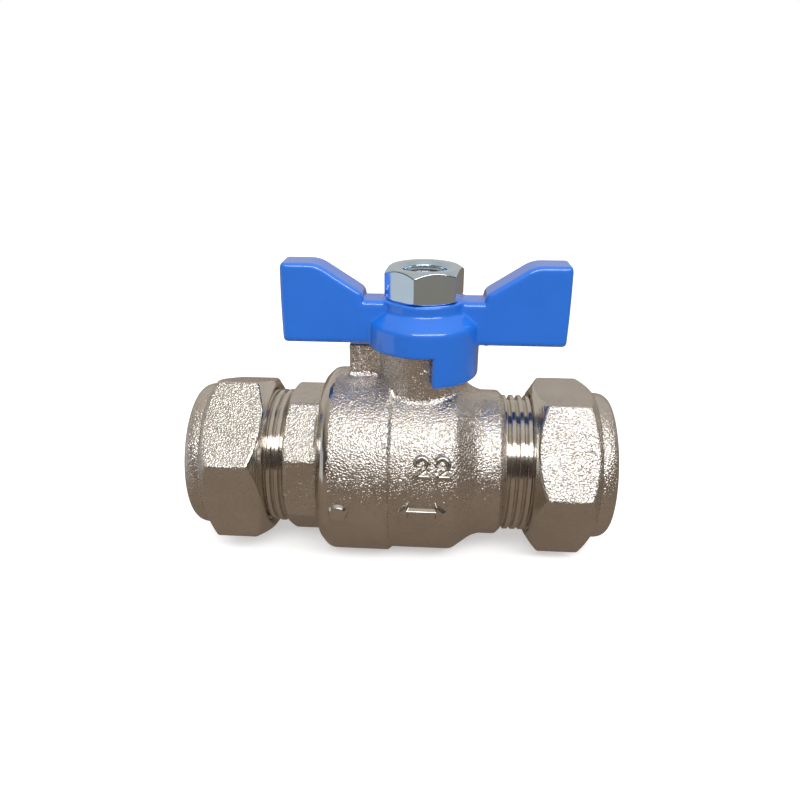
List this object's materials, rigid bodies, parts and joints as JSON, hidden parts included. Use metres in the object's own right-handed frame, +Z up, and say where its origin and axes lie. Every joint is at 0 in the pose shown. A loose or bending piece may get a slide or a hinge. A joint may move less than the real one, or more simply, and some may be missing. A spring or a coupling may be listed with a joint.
{
  "type": "water shutoff valve",
  "caption": "Quarter-turn ball valve with a two-winged blue lever and compression joints for 22 mm water pipe.",
  "frame": {"origin": "where the stem axis crosses the pipe axis, at the middle of the ball", "axes": "+X along the pipe axis toward the end without the separate connector, +Z up the stem, +Y away from the side with the raised size mark"},
  "size_m": [0.0796, 0.0367, 0.0576],
  "materials": {
    "plated_brass": "sand-blasted nickel plate, turned surfaces bright",
    "polished_chrome": "polished chrome plate",
    "blue_coating": "glossy blue coating",
    "bare_brass": "turned brass",
    "seal_rubber": "black rubber",
    "seat_plastic": "white low-friction plastic"
  },
  "bodies": {
    "valve": {"valve_body": "plated_brass", "end_connector": "plated_brass", "connector_seal": "seal_rubber", "seat_left": "seat_plastic", "seat_right": "seat_plastic", "stem_thrust_washer": "seat_plastic"},
    "spindle": {"stem": "bare_brass", "stem_o_ring_lower": "seal_rubber", "stem_o_ring_upper": "seal_rubber", "handle": "blue_coating", "handle_nut": "polished_chrome"},
    "ball_body": {"ball": "polished_chrome"},
    "olive_body_left": {"olive_left": "bare_brass"},
    "nut_body_left": {"compression_nut_left": "plated_brass"},
    "olive_body_right": {"olive_right": "bare_brass"},
    "nut_body_right": {"compression_nut_right": "plated_brass"}
  },
  "joints": [
    {"name": "handle_turn", "type": "hinge", "parent": "valve", "child": "spindle", "pos_m": [0, 0, 0], "axis": [0, 0, -1], "range_deg": [0, 90]},
    {"name": "ball_turn", "type": "hinge", "parent": "valve", "child": "ball_body", "pos_m": [0, 0, 0], "axis": [0, 0, -1], "range_deg": [0, 90]},
    {"name": "left_nut_travel", "type": "slide", "parent": "valve", "child": "olive_body_left", "axis": [-1, 0, 0], "range_m": [0, 0.006]},
    {"name": "left_nut_turn", "type": "hinge", "parent": "olive_body_left", "child": "nut_body_left", "pos_m": [-0.0363, 0, 0], "axis": [-1, 0, 0], "range_deg": [0, 1440]},
    {"name": "right_nut_travel", "type": "slide", "parent": "valve", "child": "olive_body_right", "axis": [1, 0, 0], "range_m": [0, 0.006]},
    {"name": "right_nut_turn", "type": "hinge", "parent": "olive_body_right", "child": "nut_body_right", "pos_m": [0.0281, 0, 0], "axis": [1, 0, 0], "range_deg": [0, 1440]}
  ],
  "couplings": [
    {"joint": "ball_turn", "follows": "handle_turn", "ratio": 1},
    {"joint": "left_nut_travel", "follows": "left_nut_turn", "m_per_rad": 0.00023873},
    {"joint": "right_nut_travel", "follows": "right_nut_turn", "m_per_rad": 0.00023873}
  ]
}
